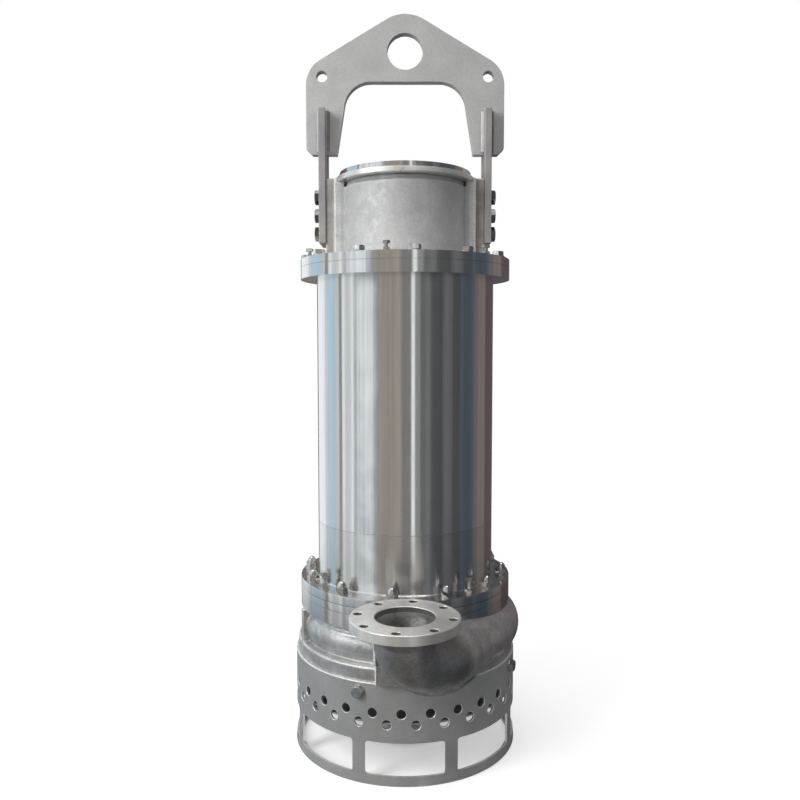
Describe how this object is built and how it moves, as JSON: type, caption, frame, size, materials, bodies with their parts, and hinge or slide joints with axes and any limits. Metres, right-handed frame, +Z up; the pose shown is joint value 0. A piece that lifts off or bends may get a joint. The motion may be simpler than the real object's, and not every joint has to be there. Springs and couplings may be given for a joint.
{
  "type": "submersible slurry pump",
  "caption": "Upright submersible slurry pump: steel motor tube on a volute casing with an upward discharge flange, a perforated strainer base and a lifting plate on two bars",
  "frame": {"origin": "On the floor under the middle of the footprint, at the height of the underside of the strainer's base ring.", "axes": "+Z is up along the shaft, -Y points to the side with the discharge flange, and X runs along the lifting plate. The shaft stands 0.138 m behind the origin, on the +Y side."},
  "size_m": [0.6752, 0.9428, 2.154],
  "materials": {
    "turned_steel": "turned and polished",
    "cast_steel": "as cast, rough",
    "housing_cast": "sand cast, satin",
    "plate_steel": "blasted plate",
    "fastener": "bright stainless",
    "sheet_steel": "satin sheet",
    "laminations": "dark laminated",
    "hard_iron": "hard white iron, cast",
    "seal_face": "lapped carbon"
  },
  "bodies": {
    "pump_body": {"lifting_yoke": "plate_steel", "lifting_bar_left": "plate_steel", "lifting_bar_right": "plate_steel", "bar_bolt_left_1": "fastener", "bar_bolt_left_2": "fastener", "bar_bolt_left_3": "fastener", "bar_bolt_right_1": "fastener", "bar_bolt_right_2": "fastener", "bar_bolt_right_3": "fastener", "top_cover": "turned_steel", "terminal_housing": "housing_cast", "cable_gland": "fastener", "motor_casing": "turned_steel", "casing_top_flange": "turned_steel", "casing_bottom_flange": "turned_steel", "flange_bolt_1": "fastener", "flange_bolt_2": "fastener", "flange_bolt_3": "fastener", "flange_bolt_4": "fastener", "flange_bolt_5": "fastener", "flange_bolt_6": "fastener", "flange_bolt_7": "fastener", "flange_bolt_8": "fastener", "flange_bolt_9": "fastener", "flange_bolt_10": "fastener", "flange_bolt_11": "fastener", "flange_bolt_12": "fastener", "dome_nut_stud_1": "fastener", "dome_nut_stud_2": "fastener", "dome_nut_stud_3": "fastener", "dome_nut_stud_4": "fastener", "dome_nut_stud_5": "fastener", "dome_nut_stud_6": "fastener", "dome_nut_stud_7": "fastener", "dome_nut_stud_8": "fastener", "dome_nut_stud_9": "fastener", "dome_nut_stud_10": "fastener", "dome_nut_stud_11": "fastener", "dome_nut_stud_12": "fastener", "jack_bolt_left": "fastener", "jack_bolt_right": "fastener", "oil_chamber": "turned_steel", "volute_casing": "cast_steel", "rear_wear_plate": "hard_iron", "suction_cover": "hard_iron", "strainer": "sheet_steel", "strainer_base": "sheet_steel", "strainer_bolt_1": "fastener", "strainer_bolt_2": "fastener", "strainer_bolt_3": "fastener", "strainer_bolt_4": "fastener", "stator": "laminations", "upper_bearing": "turned_steel", "lower_bearing": "turned_steel", "seal_seat": "seal_face"},
    "rotor": {"shaft": "turned_steel", "rotor_core": "laminations", "seal_sleeve": "turned_steel", "impeller": "hard_iron", "agitator": "hard_iron"}
  },
  "joints": [
    {"name": "rotor_spin", "type": "hinge", "parent": "pump_body", "child": "rotor", "pos_m": [-0.00456, 0.13835, 0.36], "axis": [0, 0, 1], "continuous": true}
  ]
}
